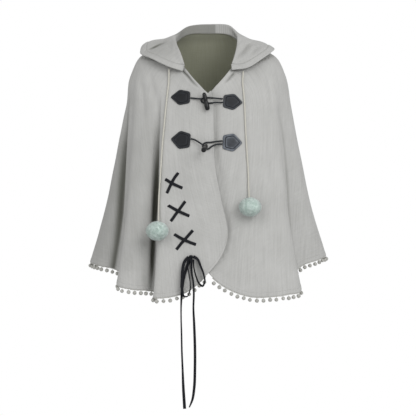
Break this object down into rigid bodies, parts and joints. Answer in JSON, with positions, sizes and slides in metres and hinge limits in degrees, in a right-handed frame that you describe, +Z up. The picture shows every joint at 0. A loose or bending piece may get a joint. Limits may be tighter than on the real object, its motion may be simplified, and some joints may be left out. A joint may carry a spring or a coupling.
{
  "type": "hooded cape",
  "caption": "Hip-length woven cape with its hood down, toggle fastenings, drawcord pompoms, a laced front and a ball-trimmed hem.",
  "frame": {"origin": "middle of the neck opening, level with the shoulders it rests on", "axes": "+Z up, the wearer faces -Y, +X is the wearer's left"},
  "size_m": [0.6836, 0.4645, 1.0765],
  "materials": {
    "cloth": "soft woven grey cloth",
    "ball_trim": "grey yarn balls on a tape",
    "leather": "charcoal leather with a pressed border",
    "horn": "black horn-like toggle",
    "black_cord": "black round cord",
    "cream_cord": "cream round cord",
    "pompom_yarn": "pale mint cut yarn",
    "lace": "black flat lace"
  },
  "bodies": {
    "root": {"front_right": "cloth", "front_left": "cloth", "back": "cloth", "hood_right": "cloth", "hood_left": "cloth", "trim_right": "ball_trim", "trim_left": "ball_trim", "trim_back": "ball_trim", "patch_upper_right": "leather", "patch_lower_right": "leather", "patch_upper_left": "leather", "patch_lower_left": "leather", "toggle_upper": "horn", "toggle_lower": "horn", "cord_upper": "black_cord", "cord_lower": "black_cord", "loop_upper": "black_cord", "loop_lower": "black_cord", "drawcord_right": "cream_cord", "drawcord_left": "cream_cord", "pompom_right": "pompom_yarn", "pompom_left": "pompom_yarn", "lace_1_under": "lace", "lace_1_over": "lace", "lace_2_under": "lace", "lace_2_over": "lace", "lace_3_under": "lace", "lace_3_over": "lace", "lace_knot": "lace", "lace_loop_right": "lace", "lace_loop_left": "lace", "lace_tail_right": "lace", "lace_tail_left": "lace"}
  },
  "joints": []
}
